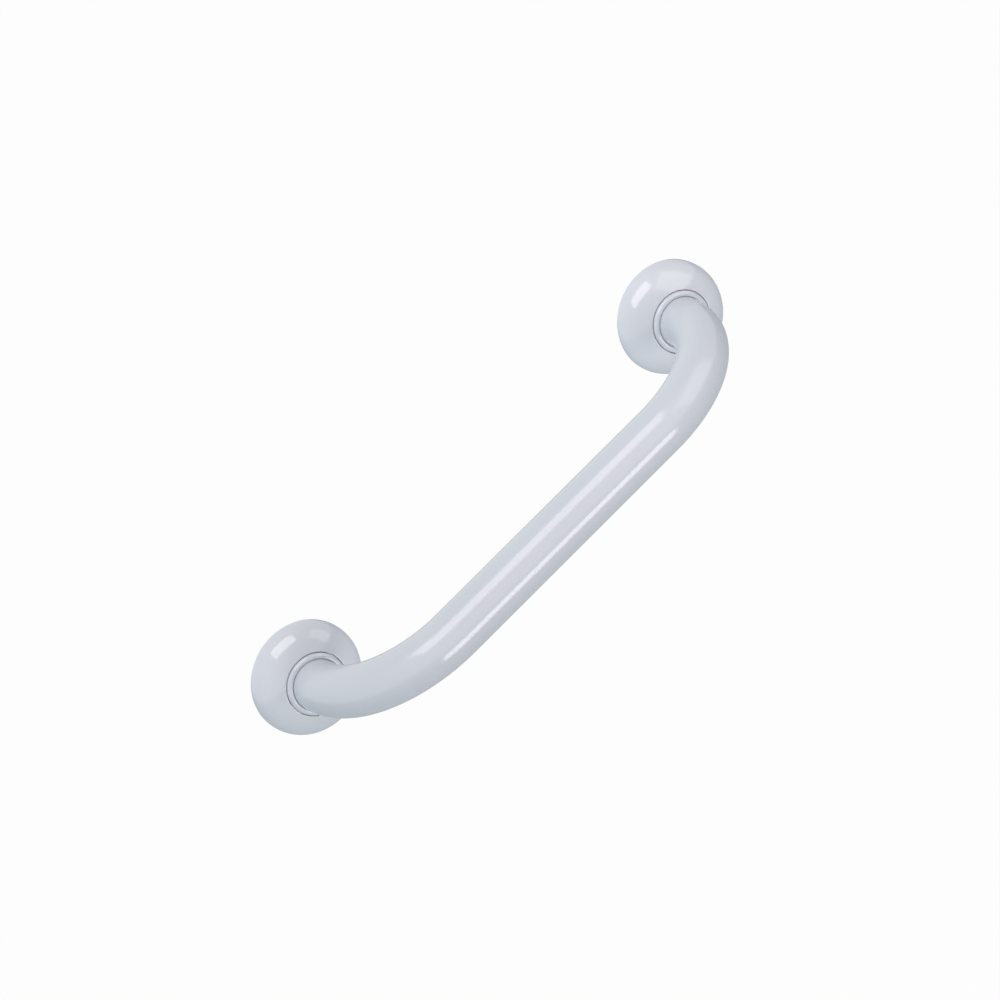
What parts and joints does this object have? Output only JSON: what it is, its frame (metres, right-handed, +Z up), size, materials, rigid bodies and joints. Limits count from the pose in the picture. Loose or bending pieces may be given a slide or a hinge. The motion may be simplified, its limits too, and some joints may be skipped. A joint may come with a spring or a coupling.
{
  "type": "straight grab bar",
  "caption": "Straight wall grab bar: a bent round tube on wall flanges under domed covers, held for support at a bath, shower or toilet.",
  "frame": {"origin": "on the wall plane, midway between the two flange axes, at the centre of the inner screws' pattern", "axes": "+X along the grip, +Y into the wall, +Z up; the grip stands off along -Y"},
  "size_m": [0.368, 0.1036, 0.068],
  "materials": {
    "white_coating": "gloss stoved coating on steel",
    "white_moulding": "gloss moulded plastic"
  },
  "bodies": {
    "root": {"grab_tube": "white_coating", "left_flange_plate": "white_coating", "right_flange_plate": "white_coating", "left_cover": "white_moulding", "right_cover": "white_moulding", "left_collar": "white_moulding", "right_collar": "white_moulding"}
  },
  "joints": []
}
